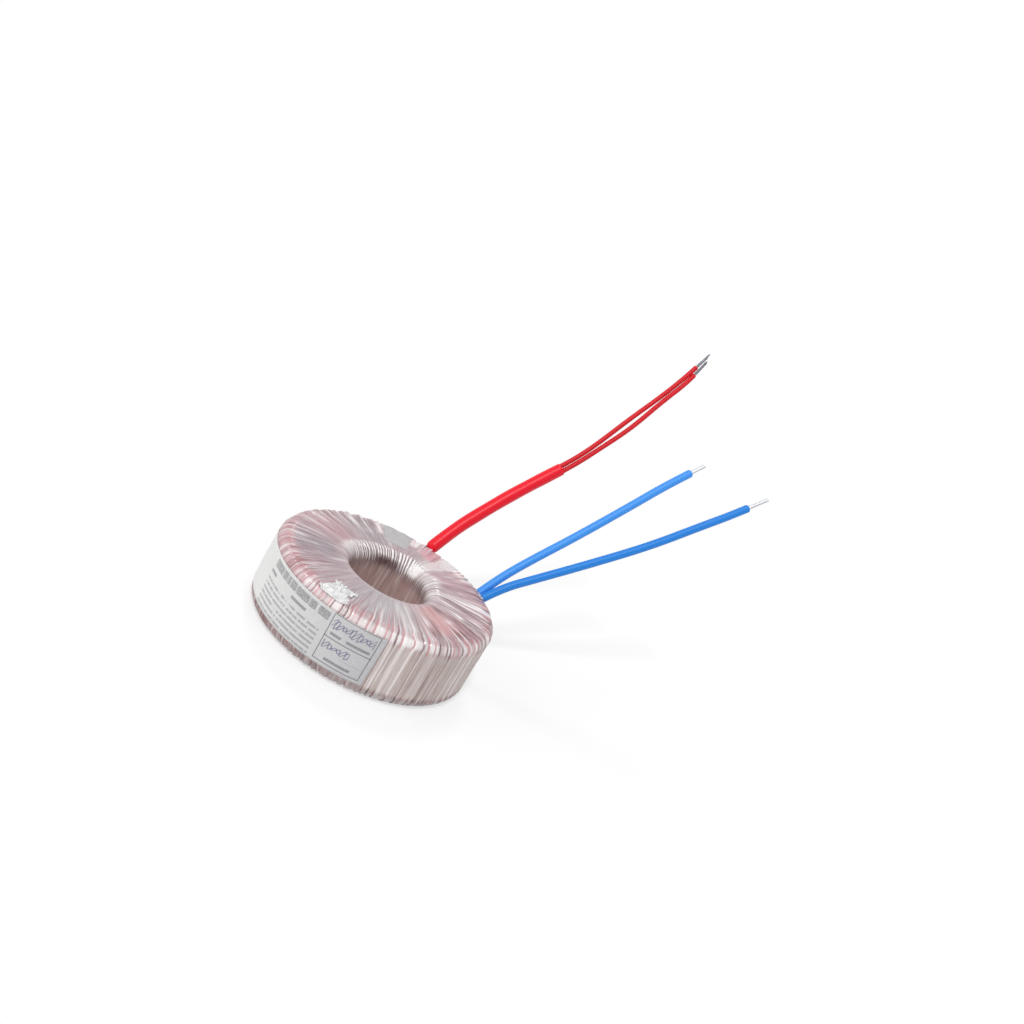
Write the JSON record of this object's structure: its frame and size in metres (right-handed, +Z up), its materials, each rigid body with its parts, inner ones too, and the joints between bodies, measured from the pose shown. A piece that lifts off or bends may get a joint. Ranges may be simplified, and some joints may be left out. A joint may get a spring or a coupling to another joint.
{
  "type": "toroidal transformer",
  "caption": "Ring-shaped mains transformer wound with lapped clear film over copper, with a side label and insulated flying leads.",
  "frame": {"origin": "on the ring's axis, in the plane that its underside rests on", "axes": "+Z up along the axis of the ring; the leads leave the rim towards +X and +Y"},
  "size_m": [0.1837, 0.176, 0.155],
  "materials": {
    "film": "clear polyester film over copper wire, glossy",
    "core": "wound silicon-steel strip",
    "cap": "pressboard ring",
    "winding": null,
    "insulation": "polyester insulating film",
    "label": "light grey paper",
    "grey_tape": "grey cloth tape",
    "pale_tape": "translucent whitish tape",
    "red": "red PVC sleeving",
    "blue": "blue sleeving",
    "tinned": "tinned copper"
  },
  "bodies": {
    "root": {"steel_core": "core", "core_end_ring_top": "cap", "core_end_ring_bottom": "cap", "primary_winding": "winding", "interwinding_film": "insulation", "secondary_winding": "winding", "outer_film_wrap": "film", "spec_label": "label", "grey_end_tape": "grey_tape", "lead_exit_tape": "pale_tape", "front_rim_tape": "pale_tape", "red_outer_sleeve": "red", "red_lead_1": "red", "red_lead_2": "red", "red_bare_end_1": "tinned", "red_bare_end_2": "tinned", "primary_splice_1": "tinned", "primary_splice_2": "tinned", "blue_lead_1": "blue", "blue_lead_2": "blue", "blue_bare_end_1": "tinned", "blue_bare_end_2": "tinned"}
  },
  "joints": []
}
